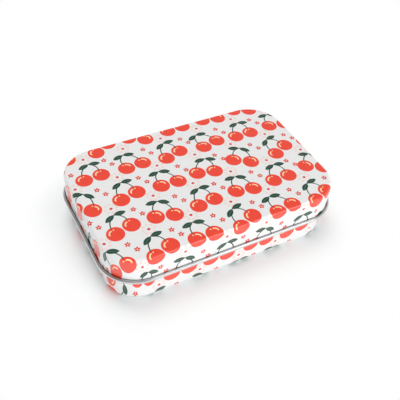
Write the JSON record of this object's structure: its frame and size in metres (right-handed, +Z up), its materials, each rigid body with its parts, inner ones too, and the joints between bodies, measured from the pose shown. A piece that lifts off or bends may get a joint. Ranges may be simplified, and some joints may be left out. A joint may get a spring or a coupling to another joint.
{
  "type": "hinged tin box",
  "caption": "Small rectangular tinplate box with round corners: a drawn base, and a lid with a rolled lower edge that turns on two tongues of the base's back wall.",
  "frame": {"origin": "centre of the base's flat underside, which is also the middle of the lid's and the base's outlines seen from above", "axes": "+Z up through the lid, +X along the long sides, -Y towards the front, so the hinge is on the +Y side"},
  "size_m": [0.0948, 0.0617, 0.0217],
  "materials": {
    "printed_lid": "gloss",
    "printed_base": "gloss",
    "bare_tinplate": "satin"
  },
  "bodies": {
    "base": {"base": "printed_base"},
    "lid": {"lid": "printed_lid"}
  },
  "joints": [
    {"name": "lid_hinge", "type": "hinge", "parent": "base", "child": "lid", "pos_m": [0, 0.02995, 0.0114], "axis": [-1, 0, 0], "range_deg": [0, 110]}
  ]
}
